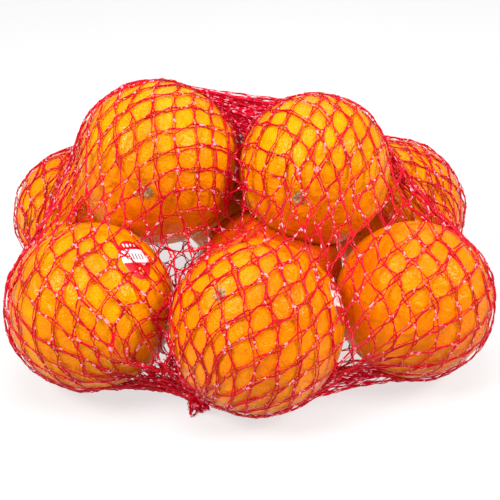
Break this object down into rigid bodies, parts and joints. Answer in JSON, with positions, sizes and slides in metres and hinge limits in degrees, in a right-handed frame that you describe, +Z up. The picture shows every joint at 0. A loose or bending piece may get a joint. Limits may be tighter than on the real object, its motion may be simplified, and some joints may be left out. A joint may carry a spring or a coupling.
{
  "type": "net of oranges",
  "caption": "Knitted diamond-mesh net bag drawn tight over whole oranges, tied at both ends and lying on a surface.",
  "frame": {"origin": "middle of the bag's bounding box, at the surface it lies on", "axes": "+X to the right along the row of fruit, +Y to the back, +Z up; the front tie faces -Y"},
  "size_m": [0.2468, 0.2124, 0.1257],
  "materials": {
    "peel": "waxy pored citrus peel, satin gloss",
    "net": "thin glossy extruded tape, knitted",
    "label": "glossy paper sticker",
    "stem": "dry woody stem button"
  },
  "bodies": {
    "root": {"net_bag": "peel"}
  },
  "joints": []
}
